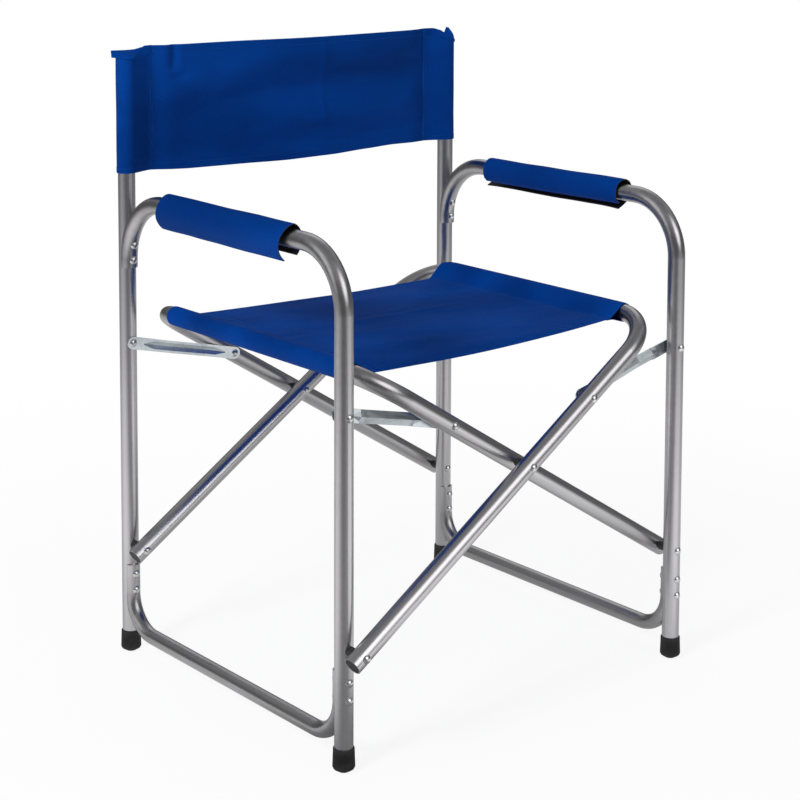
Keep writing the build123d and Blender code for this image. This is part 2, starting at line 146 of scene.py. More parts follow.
def loop(centre, radius, seam, steps, straight):
    """Fabric loop round a tube and drawn together at a seam: seam, round the tube anticlockwise, seam."""
    dx, dy = seam[0] - centre[0], seam[1] - centre[1]
    reach = math.hypot(dx, dy)
    base = math.atan2(dy, dx)
    spread = math.acos(radius / reach)
    arc = []
    for k in range(steps + 1):
        a = base + spread + (2 * math.pi - 2 * spread) * k / steps
        arc.append((centre[0] + radius * math.cos(a), centre[1] + radius * math.sin(a)))
    start = [tuple(lerp(seam[i], arc[0][i], k / straight) for i in (0, 1)) for k in range(straight)]
    end = [tuple(lerp(arc[-1][i], seam[i], (k + 1) / straight) for i in (0, 1)) for k in range(straight)]
    return start + arc + end


# ---------------------------------------------------------------- mesh building
def grid_object(name, rows, materials, thickness, smoothing=1, lining=False):
    """A fabric sheet from rows of points: thickened, rounded by subdivision, modifiers applied."""
    width = len(rows[0])
    verts = [p for row in rows for p in row]
    faces = []
    for j in range(len(rows) - 1):
        for i in range(width - 1):
            a = j * width + i
            faces.append((a, a + 1, a + 1 + width, a + width))
    mesh = bpy.data.meshes.new(name)
    mesh.from_pydata([tuple(v) for v in verts], [], faces)
    obj = bpy.data.objects.new(name, mesh)
    bpy.context.scene.collection.objects.link(obj)
    for material in materials:
        mesh.materials.append(material)
    solid = obj.modifiers.new("thickness", "SOLIDIFY")
    solid.thickness = thickness
    solid.offset = 0
    solid.use_even_offset = True
    if lining:
        solid.material_offset = 1
        solid.material_offset_rim = 1
    round_off = obj.modifiers.new("smoothing", "SUBSURF")
    round_off.levels = smoothing
    round_off.render_levels = smoothing
    bake(obj)
    return obj


def bake(obj):
    """Applies every modifier of obj to its mesh."""
    depsgraph = bpy.context.evaluated_depsgraph_get()
    depsgraph.update()
    made = bpy.data.meshes.new_from_object(obj.evaluated_get(depsgraph), depsgraph=depsgraph)
    obj.modifiers.clear()
    obj.data = made
    for polygon in made.polygons:
        polygon.use_smooth = True


def add_stitches(obj, lines, slot_index):
    """Lays short rounded stitches along polylines of (point, normal) into obj's mesh."""
    bm = bmesh.new()
    bm.from_mesh(obj.data)
    for line in lines:
        for point, along, normal in spaced(line):
            add_stitch(bm, point, along, normal, slot_index)
    bm.to_mesh(obj.data)
    bm.free()


def spaced(line):
    """Points a stitch pitch apart along a polyline of (point, normal)."""
    carry = STITCH_PITCH / 2
    for (p, n), (q, _) in zip(line, line[1:]):
        step = q - p
        reach = step.length
        if reach < 1e-7:
            continue
        while carry < reach:
            yield p + step * (carry / reach), step / reach, n
            carry += STITCH_PITCH
        carry -= reach


def add_stitch(bm, point, along, normal, slot_index):
    """One closed spindle of thread, lying on the cloth."""
    side = along.cross(normal).normalized()
    up = side.cross(along).normalized()
    rings = []
    for t, r in STITCH_PROFILE:
        centre = point + along * (t * STITCH_LENGTH) + up * (STITCH_R * 0.35)
        ring = []
        for k in range(STITCH_SIDES):
            a = 2 * math.pi * k / STITCH_SIDES
            offset = (side * math.cos(a) + up * math.sin(a)) * (STITCH_R * r)
            ring.append(bm.verts.new(centre + offset))
        rings.append(ring)
    for ring, following in zip(rings, rings[1:]):
        for k in range(STITCH_SIDES):
            ahead = (k + 1) % STITCH_SIDES
            face = bm.faces.new((ring[k], ring[ahead], following[ahead], following[k]))
            face.material_index = slot_index
            face.smooth = True
    for ring in (list(reversed(rings[0])), rings[-1]):
        face = bm.faces.new(ring)
        face.material_index = slot_index


# ---------------------------------------------------------------- materials
class Nodes:
    """Short names for building the node tree of a material or a world."""

    def __init__(self, owner, output="ShaderNodeOutputMaterial", space="Object"):
        owner.use_nodes = True
        self.tree = owner.node_tree
        self.tree.nodes.clear()
        self.out = self.add(output)
        self.coords = self.add("ShaderNodeTexCoord").outputs[space]

    def add(self, kind, **settings):
        node = self.tree.nodes.new(kind)
        for key, value in settings.items():
            setattr(node, key, value)
        return node

    def link(self, a, b):
        self.tree.links.new(a, b)

    def put(self, node, **values):
        for key, value in values.items():
            name = key.replace("_", " ")
            if isinstance(value, bpy.types.NodeSocket):
                self.link(value, node.inputs[name])
            else:
                node.inputs[name].default_value = value
        return node

    def stretched(self, scale, rotation=(0, 0, 0)):
        turned = self.put(self.add("ShaderNodeMapping"), Vector=self.coords, Rotation=rotation)
        mapping = self.put(self.add("ShaderNodeMapping"), Vector=turned.outputs["Vector"], Scale=scale)
        return mapping.outputs["Vector"]

    def noise(self, vector, scale, detail=3.0, rough=0.55, distortion=0.0):
        node = self.put(self.add("ShaderNodeTexNoise"), Vector=vector, Scale=scale, Detail=detail,
                        Roughness=rough, Distortion=distortion)
        return node.outputs["Fac"]

    def ramp(self, fac, stops):
        node = self.add("ShaderNodeValToRGB")
        ramp = node.color_ramp
        while len(ramp.elements) < len(stops):
            ramp.elements.new(0.5)
        for element, (position, colour) in zip(ramp.elements, stops):
            element.position = position
            element.color = (*colour, 1) if len(colour) == 3 else colour
        self.link(fac, node.inputs["Fac"])
        return node.outputs["Color"]

    def grey(self, fac, low, high, start=0.3, end=0.7):
        return self.ramp(fac, [(start, (low,) * 3), (end, (high,) * 3)])

    def maths(self, operation, a, b=0.0):
        node = self.add("ShaderNodeMath", operation=operation)
        for index, value in enumerate((a, b)):
            if isinstance(value, bpy.types.NodeSocket):
                self.link(value, node.inputs[index])
            else:
                node.inputs[index].default_value = value
        return node.outputs[0]

    def mix(self, fac, a, b, blend="MIX"):
        node = self.add("ShaderNodeMix", data_type="RGBA", blend_type=blend)
        for index, value in ((0, fac), (6, a), (7, b)):
            if isinstance(value, bpy.types.NodeSocket):
                self.link(value, node.inputs[index])
            elif index == 0:
                node.inputs[index].default_value = value
            else:
                node.inputs[index].default_value = (*value, 1)
        return node.outputs[2]

    def bump(self, height, strength, distance, normal=None):
        node = self.put(self.add("ShaderNodeBump"), Strength=strength, Distance=distance, Height=height)
        if normal is not None:
            self.link(normal, node.inputs["Normal"])
        return node.outputs["Normal"]

    def surface(self, **values):
        shader = self.put(self.add("ShaderNodeBsdfPrincipled"), **values)
        self.link(shader.outputs["BSDF"], self.out.inputs["Surface"])
        return shader


def satin_aluminium(name, stretch=(1, 1, 1), rotation=(0, 0, 0), tone=0.47):
    """Anodised tube: drawn-tube streaks along the run, fine grain, faint smudges and a painted highlight on
    sharp edges.
    """
    material = bpy.data.materials.new(name)
    n = Nodes(material)
    streak_space = n.stretched(stretch, rotation)
    streaks = n.noise(streak_space, 260.0, 4.0, 0.6)
    grain = n.noise(n.coords, 1500.0, 2.0, 0.6)
    smudge = n.noise(n.coords, 14.0, 4.0, 0.6, 0.4)
    dull = (tone * 0.90, tone * 0.88, tone * 0.91)
    bright = (tone * 1.10, tone * 1.08, tone * 1.12)
    tint = n.ramp(streaks, [(0.3, dull), (0.7, bright)])
    tint = n.mix(n.grey(smudge, 0.0, 0.35, 0.35, 0.75), tint, (tone * 0.84, tone * 0.82, tone * 0.80))
    # painted highlight: pale tint where the mesh is pointy, along sharp edges
    edge = n.grey(n.add("ShaderNodeNewGeometry").outputs["Pointiness"], 0.0, 0.6, 0.52, 0.60)
    tint = n.mix(edge, tint, (0.66, 0.65, 0.67))
    rough = n.maths("ADD", n.maths("MULTIPLY", streaks, 0.08), n.maths("MULTIPLY", smudge, 0.12))
    rough = n.maths("ADD", rough, 0.20)
    normal = n.bump(streaks, 0.02, 0.0001)
    normal = n.bump(grain, 0.02, 0.00005, normal)
    n.surface(Base_Color=tint, Metallic=1.0, Roughness=rough, Normal=normal)
    return material


def zinc_steel(name):
    """Pressed steel with bright zinc plating: pale, bluish, cloudy, with dull creases."""
    material = bpy.data.materials.new(name)
    n = Nodes(material)
    cloud = n.noise(n.coords, 60.0, 5.0, 0.65, 0.8)
    spangle = n.noise(n.coords, 420.0, 3.0, 0.6)
    shades = [(0.30, (0.60, 0.67, 0.71)), (0.55, (0.74, 0.80, 0.83)), (0.75, (0.82, 0.84, 0.83))]
    tint = n.ramp(cloud, shades)
    tint = n.mix(n.grey(spangle, 0.0, 0.3), tint, (0.50, 0.56, 0.61))
    rough = n.maths("ADD", n.maths("MULTIPLY", cloud, 0.16), 0.14)
    normal = n.bump(spangle, 0.06, 0.0002)
    n.surface(Base_Color=tint, Metallic=0.96, Roughness=rough, Normal=normal)
    return material


def rivet_metal(name):
    """Bright rivet with a scuffed crown."""
    material = bpy.data.materials.new(name)
    n = Nodes(material)
    scuff = n.noise(n.coords, 900.0, 4.0, 0.65)
    dirt = n.noise(n.coords, 160.0, 3.0, 0.5)
    tint = n.ramp(scuff, [(0.3, (0.62, 0.62, 0.64)), (0.7, (0.84, 0.84, 0.85))])
    tint = n.mix(n.grey(dirt, 0.0, 0.4, 0.5, 0.8), tint, (0.30, 0.29, 0.28))
    rough = n.maths("ADD", n.maths("MULTIPLY", scuff, 0.2), 0.12)
    n.surface(Base_Color=tint, Metallic=1.0, Roughness=rough, Normal=n.bump(scuff, 0.1, 0.0002))
    return material


def moulded(name, dark, light, rough_low, grain_scale, grain_depth):
    """Moulded rubber or plastic: fine texture, dusty patches and paler edges."""
    material = bpy.data.materials.new(name)
    n = Nodes(material)
    grain = n.noise(n.coords, grain_scale, 3.0, 0.6)
    dust = n.noise(n.coords, 45.0, 4.0, 0.6, 0.3)
    tint = n.mix(n.grey(dust, 0.0, 0.8, 0.4, 0.75), dark, light)
    edge = n.grey(n.add("ShaderNodeNewGeometry").outputs["Pointiness"], 0.0, 0.5, 0.52, 0.62)
    tint = n.mix(edge, tint, tuple(min(1.0, 2.2 * c) for c in light))
    rough = n.maths("ADD", n.maths("MULTIPLY", dust, 0.25), rough_low)
    normal = n.bump(grain, 0.3, grain_depth)
    n.surface(Base_Color=tint, Roughness=rough, Normal=normal, Specular_IOR_Level=0.22)
    return material


CANVAS_PITCH = 1.1 * MM
LINING_PITCH = 1.3 * MM


def weave_height(n, across, along, pitch):
    """Plain weave: over-and-under threads on two axes of object space."""
    parts = n.put(n.add("ShaderNodeSeparateXYZ"), Vector=n.coords)
    turn = 2 * math.pi / pitch
    warp = n.maths("SINE", n.maths("MULTIPLY", parts.outputs[across], turn))
    weft = n.maths("SINE", n.maths("MULTIPLY", parts.outputs[along], turn))
    return n.maths("ADD", n.maths("MULTIPLY", n.maths("MULTIPLY", warp, weft), 0.5), 0.5)


def canvas(name, across="X", along="Z", tone=1.0, folds=(1, 1, 1)):
    """Royal blue canvas: weave with painted shade in its hollows, slubs, soft creases with painted shade in
    bands along the folds, rubbed edges.
    """
    material = bpy.data.materials.new(name)
    n = Nodes(material)
    weave = weave_height(n, across, along, CANVAS_PITCH)
    slub = n.noise(n.stretched((1, 1, 6) if along == "Z" else (1, 6, 1)), 240.0, 3.0, 0.6)
    fleck = n.noise(n.coords, 1200.0, 2.0, 0.7)
    # painted shade: darker bands stretched along the folds, standing in for the shade of the creases
    fade = n.noise(n.stretched(folds), 11.0, 2.0, 0.4, 0.2)
    fold_shade_colour = (0.0008 * tone, 0.033 * tone, 0.205 * tone)
    mid = (0.0014 * tone, 0.054 * tone, 0.325 * tone)
    tint = n.ramp(fade, [(0.36, fold_shade_colour), (0.64, mid)])
    tint = n.mix(n.grey(fleck, 0.0, 0.34, 0.42, 0.72), tint, (0.002, 0.080, 0.42))
    tint = n.mix(n.grey(slub, 0.0, 0.34, 0.42, 0.75), tint, (0.0012, 0.030, 0.20))
    # painted shade: darker where the weave is low, in the hollows between threads
    tint = n.mix(n.grey(weave, 0.16, 0.0, 0.0, 0.6), tint, (0.0005, 0.014, 0.10))
    edge = n.grey(n.add("ShaderNodeNewGeometry").outputs["Pointiness"], 0.0, 0.42, 0.52, 0.62)
    tint = n.mix(edge, tint, (0.008, 0.14, 0.56))
    rough = n.maths("ADD", n.maths("MULTIPLY", slub, 0.16), 0.66)
    creases = n.noise(n.stretched(folds), 15.0, 2.0, 0.4, 0.3)
    puckers = n.noise(n.coords, 55.0, 3.0, 0.5, 0.6)
    normal = n.bump(creases, 0.70, 0.020)
    normal = n.bump(puckers, 0.14, 0.0022, normal)
    normal = n.bump(slub, 0.18, 0.0005, normal)
    normal = n.bump(weave, 0.32, 0.00025, normal)
    shader = n.surface(Base_Color=tint, Roughness=rough, Normal=normal)
    n.put(shader, Sheen_Weight=0.02, Sheen_Roughness=0.4, Specular_IOR_Level=0.04)
    shader.inputs["Sheen Tint"].default_value = (0.25, 0.45, 1.0, 1)
    return material


def lining(name):
    """Black coated inside of the arm covers."""
    material = bpy.data.materials.new(name)
    n = Nodes(material)
    weave = weave_height(n, "Y", "Z", LINING_PITCH)
    dust = n.noise(n.coords, 120.0, 4.0, 0.6)
    tint = n.ramp(dust, [(0.3, (0.0030, 0.0034, 0.008)), (0.75, (0.010, 0.011, 0.022))])
    n.surface(Base_Color=tint, Roughness=0.6, Normal=n.bump(weave, 0.3, 0.0003))
    return material


def thread(name):
    """Sewing thread, a shade paler than the canvas."""
    material = bpy.data.materials.new(name)
    n = Nodes(material)
    twist = n.noise(n.coords, 2600.0, 2.0, 0.5)
    tint = n.ramp(twist, [(0.3, (0.004, 0.055, 0.27)), (0.7, (0.016, 0.095, 0.40))])
    normal = n.bump(twist, 0.3, 0.0002)
    n.surface(Base_Color=tint, Roughness=0.7, Normal=normal, Specular_IOR_Level=0.04)
    return material


UPRIGHT = (1, 1, 0.035)
LENGTHWISE = (1, 0.035, 1)
CROSSWAYS = (0.035, 1, 1)
ALUMINIUM_UP = satin_aluminium("aluminium_upright", UPRIGHT)
ALUMINIUM_RAIL = satin_aluminium("aluminium_rail", LENGTHWISE, tone=0.42)
ALUMINIUM_RIGHT_HOOP = satin_aluminium("aluminium_right_hoop", CROSSWAYS, (0, LEG_ANGLE, 0))
ALUMINIUM_LEFT_HOOP = satin_aluminium("aluminium_left_hoop", CROSSWAYS, (0, -LEG_ANGLE, 0))
ALUMINIUM_ARM = satin_aluminium("aluminium_arm", (1, 0.5, 0.5))
ZINC = zinc_steel("zinc_plate")
RIVET = rivet_metal("bright_rivet")
RUBBER = moulded("foot_rubber", (0.012, 0.012, 0.013), (0.035, 0.034, 0.033), 0.45, 700.0, 0.0004)
PLASTIC = moulded("black_plastic", (0.010, 0.010, 0.011), (0.022, 0.022, 0.023), 0.28, 1100.0, 0.0002)
SEAT_CANVAS = canvas("seat_canvas", "X", "Y", tone=0.92, folds=(0.4, 0.8, 1))
BACK_CANVAS = canvas("back_canvas", "X", "Z", tone=0.92, folds=(0.45, 1, 1.3))
COVER_CANVAS = canvas("cover_canvas", "Y", "Z", tone=0.76, folds=(1, 0.35, 1))
LINING = lining("black_lining")
THREAD = thread("sewing_thread")

NODE_MATERIALS = {
    "rear_post": ALUMINIUM_UP,
    "arm_tube": ALUMINIUM_ARM,
    "bottom_rail": ALUMINIUM_RAIL,
    "feet": RUBBER,
    "post_cap": PLASTIC,
    "arm_rivets": RIVET,
    "rail_rivets": RIVET,
    "pivot_rivets": RIVET,
    "pivot_spacers": PLASTIC,
    "link_rivets": RIVET,
    "hoop_plugs": PLASTIC,
    "leg_rivets": RIVET,
    "front_link": ZINC,
    "rear_link": ZINC,
    "link_buttons": RIVET,
    "cross_rivets": RIVET,
    "cross_spacers": PLASTIC,
}


def paint_frame():
    """Gives each CAD node that stays in sight its material."""
    for name, obj in NODES.items():
        material = NODE_MATERIALS.get(name) or NODE_MATERIALS.get(name.split("_", 1)[-1])
        if name == "right_seat_hoop":
            material = ALUMINIUM_RIGHT_HOOP
        if name == "left_seat_hoop":
            material = ALUMINIUM_LEFT_HOOP
        if material is None:
            continue
        if not obj.material_slots:
            obj.data.materials.append(material)
        for slot in obj.material_slots:
            slot.material = material


# ---------------------------------------------------------------- seat sling
SEAT_R = 11.9 * MM
SEAT_ENDS = {"left": (-194 * MM, 172 * MM), "right": (-172 * MM, 186 * MM)}
SEAT_SEAM = 26.0 * MM
SEAT_LAP = 7.0 * MM
SEAT_ROWS = 64
SEAT_COLUMNS = 44
SEAT_SEAM_LINES = (0.012, 0.022, 0.978, 0.988)  # across the sling
SEAT_HEM_LINES = (0.030, 0.970)  # front and rear
CREASE_RISE = 2.0 * MM
CREASE_HALF_WIDTH = 4.0 * MM
SEAT_WAVE = 1.1 * MM


def rail_centre(side, y):
    """Axis of a seat rail at y, following the hoop's bend."""
    sign = 1 if side == "right" else -1
    past = max(abs(y) - BEND_START, 0.0)
    drop = BEND_R - math.sqrt(BEND_R**2 - past**2)
    return sign * (RAIL_X - drop * math.cos(LEG_ANGLE)), RAIL_Z - drop * math.sin(LEG_ANGLE)


def seat_seam(side, v):
    """Seam of a seat sleeve, in x and z: level on the left, hanging a little on the right."""
    y = lerp(*SEAT_ENDS[side], v)
    x, z = rail_centre(side, y)
    if side == "left":
        dip = 7.0 * MM * (1 - smooth(v / 0.22)) + 6.0 * MM * smooth((v - 0.80) / 0.20)
        return x + SEAT_SEAM, z + 4.0 * MM - dip
    dip = 1.5 * MM * smooth((v - 0.8) / 0.2) - 2.5 * MM * (1 - smooth(v / 0.25))
    return x - SEAT_SEAM, z - 7.0 * MM - dip


def seat_height(t, v, left_z, right_z):
    """Height of the sling between its seams."""
    y = lerp(lerp(*SEAT_ENDS["left"], v), lerp(*SEAT_ENDS["right"], v), t)
    sag = lerp(lerp(5.0, 3.0, smooth(v * 2)), 2.5, smooth(v * 2 - 1)) * MM
    z = lerp(left_z, right_z, t) - sag * 4 * t * (1 - t)
    crease = 8 * MM + 30 * MM * (t - 0.3)
    ridge = math.exp(-((abs(y - crease) / CREASE_HALF_WIDTH) ** 1.3))
    z += CREASE_RISE * ridge * smooth(t * 5) * smooth((1 - t) * 5)
    z += SEAT_WAVE * wobble(t * 2.0, v * 1.6, 1.6, 3.1) * smooth(t * 6) * smooth((1 - t) * 6)
    return z, y


def seat_row(v):
    """One row across the sling: lap, left sleeve, sheet, right sleeve, lap."""
    sides = {}
    for side in ("left", "right"):
        y = lerp(*SEAT_ENDS[side], v)
        seam = seat_seam(side, v)
        ring = loop(rail_centre(side, y), SEAT_R, seam, 18, 5)
        ring.reverse()
        sides[side] = (y, seam, ring)
    left_y, left_seam, left_ring = sides["left"]
    right_y, right_seam, right_ring = sides["right"]
    left_ring[0] = (left_ring[0][0], left_ring[0][1] - SEAM_GAP)
    right_ring[-1] = (right_ring[-1][0], right_ring[-1][1] - SEAM_GAP)
    left_z = seat_height(0.02, v, left_seam[1], right_seam[1])[0]
    right_z = seat_height(0.98, v, left_seam[1], right_seam[1])[0]
    left_lap = (left_seam[0] + SEAT_LAP, left_z - SEAM_GAP)
    right_lap = (right_seam[0] - SEAT_LAP, right_z - SEAM_GAP)
    row = [Vector((x, left_y, z)) for x, z in [left_lap] + left_ring]
    for k in range(1, SEAT_COLUMNS):
        t = k / SEAT_COLUMNS
        z, y = seat_height(t, v, left_seam[1], right_seam[1])
        row.append(Vector((lerp(left_seam[0], right_seam[0], t), y, z)))
    row += [Vector((x, right_y, z)) for x, z in right_ring + [right_lap]]
    return row


def seat_stitch(t, v):
    """Point and normal of a thread on top of the sling."""
    left, right = seat_seam("left", v), seat_seam("right", v)
    z, y = seat_height(t, v, left[1], right[1])
    return Vector((lerp(left[0], right[0], t), y, z + FABRIC / 2)), Vector((0, 0, 1))


def build_seat():
    rows = [seat_row(j / SEAT_ROWS) for j in range(SEAT_ROWS + 1)]
    seat = grid_object("seat_sling", rows, [SEAT_CANVAS, THREAD], FABRIC)
    steps = SEAT_ROWS * 2
    along = [lerp(0.006, 0.994, j / steps) for j in range(steps + 1)]
    lines = [[seat_stitch(t, v) for v in along] for t in SEAT_SEAM_LINES]
    lines += [[seat_stitch(k / 200, v) for k in range(6, 195)] for v in SEAT_HEM_LINES]
    add_stitches(seat, lines, 1)
    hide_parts("seat_panel", "left_seat_sleeve", "right_seat_sleeve")
    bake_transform(seat)
    return seat


# ---------------------------------------------------------------- backrest
BACK_R = 12.0 * MM
BACK_SEAM_X = 231.0 * MM
BACK_SEAM_Y = POST_Y + 2.0 * MM
BACK_EAR = {"left": 55.0 * MM, "right": 47.5 * MM}
BACK_LAP = 7.0 * MM
BACK_COLUMNS, BACK_ROWS = 116, 44
BACK_HEM_LINES = (0.055, 0.945)
SLEEVE_SEAM_INSETS = (2.0 * MM, 5.0 * MM)
SLEEVE_LEVELS = 22
FLAT_HALF_GAP = 0.62 * MM
SLEEVE_CLOSING = (0.12, 0.28, 0.46, 0.64, 0.82, 0.93, 1.0)  # from the open loop to the flat top
FLAP_COLUMNS, FLAP_STEPS = 30, 7
BACK_BOTTOM_EDGE = [(-0.231, 0.628), (-0.17, 0.6252), (-0.10, 0.6244), (-0.015, 0.6225), (0.06, 0.6232),
                    (0.12, 0.626), (0.165, 0.628), (0.231, 0.6276)]
BACK_TOP_EDGE = [(-0.231, 0.7892), (-0.10, 0.7885), (0.0, 0.7876), (0.20, 0.7885), (0.231, 0.7886)]
SLEEVE_TOP = {
    "left": [(0.0, 0.7892), (0.010, 0.7872), (0.020, 0.7848), (0.034, 0.7846), (0.055, 0.7852)],
    "right": [(0.0, 0.7886), (0.0127, 0.7885), (0.024, 0.7856), (0.034, 0.7810), (0.0372, 0.7808),
              (0.0410, 0.7908), (0.0430, 0.7828), (0.0450, 0.7790), (0.0475, 0.7762)],
}
SLEEVE_CREASE = [(0.0, 0.7770), (0.012, 0.7735), (0.026, 0.7722), (0.055, 0.7728)]
FLAP_DROP = {
    "left": [(0.0, 0.0110), (0.015, 0.0125), (0.028, 0.0115), (0.042, 0.0098), (0.056, 0.0090)],
    "right": [(0.0, 0.0085), (0.010, 0.0100), (0.034, 0.0112), (0.040, 0.0160), (0.051, 0.0060)],
}


def ridge(x, centre, width):
    return math.exp(-(((x - centre) / width) ** 2))


def back_rolls(x, z):
    """Depth of the soft horizontal rolls and the puckers near the top left seam; towards the rear is +."""
    t = (x + BACK_SEAM_X) / (2 * BACK_SEAM_X)
    inside = smooth(t * 9) * smooth((1 - t) * 9)
    h = (z - 0.626) / 0.162
    roll = 4.6 * MM * math.cos(2 * math.pi * (h * 1.9 - 0.32 * t + 0.08)) * smooth((h - 0.02) * 6)
    roll *= smooth(t * 4 - 0.2) * inside
    drift = 6.0 * MM * wobble(x * 4.0, z * 7.0, 1.0, 8.2) * inside
    crease = -1.4 * MM * ridge(x, 0.040, 0.0035) * smooth(h * 3)
    pucker = 5.0 * MM * ridge(x, -0.197, 0.0055) * smooth((h - 0.74) / 0.16)
    hook_z = 0.748
    hook = 4.0 * MM * ridge(x, -0.186 + (z - hook_z) * 0.9, 0.012) * ridge(z, hook_z, 0.006)
    swell = -3.4 * MM * ridge(x, -0.212, 0.010) * smooth((h - 0.70) / 0.2)
    seam_line = 1.2 * MM * ridge(x, 0.222, 0.004) * smooth(h * 4)
    return roll + drift + crease + pucker + hook + swell + seam_line


def back_point(x, h):
    """Point of the sheet between the posts: flat beyond the seams, bowed to the front between them."""
    z = lerp(table_value(BACK_BOTTOM_EDGE, x), table_value(BACK_TOP_EDGE, x), h)
    t = (x + BACK_SEAM_X) / (2 * BACK_SEAM_X)
    if not 0 < t < 1:
        return Vector((x, BACK_SEAM_Y, z))
    bow = 3.0 * MM * 4 * t * (1 - t) + 5.0 * MM * smooth(t * 14) * smooth((1 - t) * 14)
    return Vector((x, BACK_SEAM_Y - bow + back_rolls(x, z), z))


def build_back_panel():
    reach = BACK_SEAM_X + BACK_LAP + 1 * MM
    across = [lerp(-reach, reach, i / BACK_COLUMNS) for i in range(BACK_COLUMNS + 1)]
    rows = [[back_point(x, j / BACK_ROWS) for x in across] for j in range(BACK_ROWS + 1)]
    panel = grid_object("back_panel_cloth", rows, [BACK_CANVAS, THREAD], FABRIC)
    seam = BACK_SEAM_X - 6.0 * MM
    threads = [lerp(-seam, seam, k / 240) for k in range(241)]
    lines = []
    for h in BACK_HEM_LINES:
        for side in (-1, 1):
            out = Vector((0, side, 0))
            lines.append([(back_point(x, h) + out * (FABRIC / 2), out) for x in threads])
    add_stitches(panel, lines, 1)
    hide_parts("back_panel")
    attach(panel, "left_frame")
    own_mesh(panel)
    return panel


def sleeve_section(side):
    """Plan of a back sleeve: lap, seam, round the post, seam, lap."""
    sign = 1 if side == "right" else -1
    ring = loop((POST_X, POST_Y), BACK_R, (BACK_SEAM_X, BACK_SEAM_Y), 26, 6)
    if ring[8][1] > POST_Y:
        ring.reverse()
    front = (ring[0][0], ring[0][1] - SEAM_GAP)
    rear = (ring[-1][0], ring[-1][1] + SEAM_GAP)
    lap = BACK_SEAM_X - BACK_LAP
    points = [(lap, front[1]), front] + ring[1:-1] + [rear, (lap, rear[1])]
    return [(sign * x, y) for x, y in points]


def sleeve_reach(points, ear):
    """Distance of each point from the seam if the loop were pressed flat."""
    lengths = [0.0]
    for a, b in zip(points, points[1:]):
        lengths.append(lengths[-1] + math.hypot(b[0] - a[0], b[1] - a[1]))
    start, end = lengths[1], lengths[-2]
    half = (end - start) / 2
    out = []
    for index, s in enumerate(lengths):
        if index in (0, len(points) - 1):
            out.append(-BACK_LAP)
        else:
            along = s - start
            out.append(min(along, 2 * half - along) * ear / half)
    return out


def sleeve_rows(side):
    """Rows of a back sleeve from its hem up to the crease, then closing to a flat top."""
    sign = 1 if side == "right" else -1
    section = sleeve_section(side)
    reach = sleeve_reach(section, BACK_EAR[side])
    bottom = BACK_BOTTOM_EDGE[-1 if sign > 0 else 0][1]
    rows = []
    for k in range(SLEEVE_LEVELS + 1):
        h = k / SLEEVE_LEVELS
        row = []
        for (x, y), r in zip(section, reach):
            crease = table_value(SLEEVE_CREASE, max(r, 0.0))
            z = lerp(bottom, crease, h)
            hem = 0.5 * MM * (1 - smooth(h / 0.07))
            wave = 0.9 * MM * wobble(sign * r * 20, z * 14, 1.0, 5.0 + sign) * smooth(h * 4)
            away = Vector((x - sign * POST_X, y - POST_Y)).normalized() * (hem + max(wave, -0.3 * MM))
            if r <= 0:
                away = Vector((0, 0))
            row.append(Vector((x + away.x, y + away.y, z)))
        rows.append(row)
    for t in SLEEVE_CLOSING:
        row = []
        for index, ((x, y), r) in enumerate(zip(section, reach)):
            crease = table_value(SLEEVE_CREASE, max(r, 0.0))
            top = table_value(SLEEVE_TOP[side], max(r, 0.0))
            layer = -FLAT_HALF_GAP if index < len(section) / 2 else FLAT_HALF_GAP
            flat_x = sign * (BACK_SEAM_X + r)
            flat_y = BACK_SEAM_Y + 2.5 * MM * bump(r, 0.036, 0.03) + layer
            if r <= 0:
                flat_x, flat_y = x, y
            s = smooth(t)
            row.append(Vector((lerp(x, flat_x, s), lerp(y, flat_y, s), lerp(crease, top, t))))
        rows.append(row)
    return rows


def flap_rows(side):
    """Seam allowance of the closed sleeve top, folded forward over the post."""
    sign = 1 if side == "right" else -1
    rows = []
    for j in range(FLAP_STEPS + 1):
        t = j / FLAP_STEPS
        row = []
        for i in range(FLAP_COLUMNS + 1):
            r = lerp(-4.0 * MM, BACK_EAR[side] + 1.0 * MM, i / FLAP_COLUMNS)
            drop = table_value(FLAP_DROP[side], max(r, 0.0))
            top = table_value(SLEEVE_TOP[side], max(r, 0.0))
            forward = 1.2 * MM + (0.8 * MM + 13.2 * MM * bump(r, 0.033, 0.026)) * smooth(t * 1.3)
            forward += 0.8 * MM * wobble(r * 60, t * 2, 1.0, 4.0 + sign)
            lift = 0.6 * MM * math.sin(math.pi * min(t * 1.6, 1.0))
            row.append(Vector((sign * (BACK_SEAM_X + r), BACK_SEAM_Y - forward, top - drop * t + lift)))
        rows.append(row)
    return rows


def join(obj, extra):
    """Takes the mesh of extra into obj; both use the same materials."""
    bm = bmesh.new()
    bm.from_mesh(obj.data)
    bm.from_mesh(extra.data)
    bm.to_mesh(obj.data)
    bm.free()
    bpy.data.objects.remove(extra)


def build_back_sleeve(side):
    sign = 1 if side == "right" else -1
    rows = sleeve_rows(side)
    sleeve = grid_object(f"{side}_back_sleeve_cloth", rows, [BACK_CANVAS, THREAD], FABRIC)
    folded = flap_rows(side)
    join(sleeve, grid_object(f"{side}_flap", folded, [BACK_CANVAS, THREAD], FABRIC))
    lines = []
    for index, face in ((0, -1), (-1, 1)):
        for inset in SLEEVE_SEAM_INSETS:
            shift = Vector((sign * inset, face * FABRIC / 2, 0))
            lines.append([(row[index] + shift, Vector((0, face, 0))) for row in rows])
    hem = []
    for point in rows[1][2:-2]:
        out = Vector((point.x - sign * POST_X, point.y - POST_Y, 0)).normalized()
        hem.append((point + out * (FABRIC / 2), out))
    lines.append(hem)
    add_stitches(sleeve, lines, 1)
    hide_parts(f"{side}_back_sleeve")
    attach(sleeve, f"{side}_frame")
    return sleeve


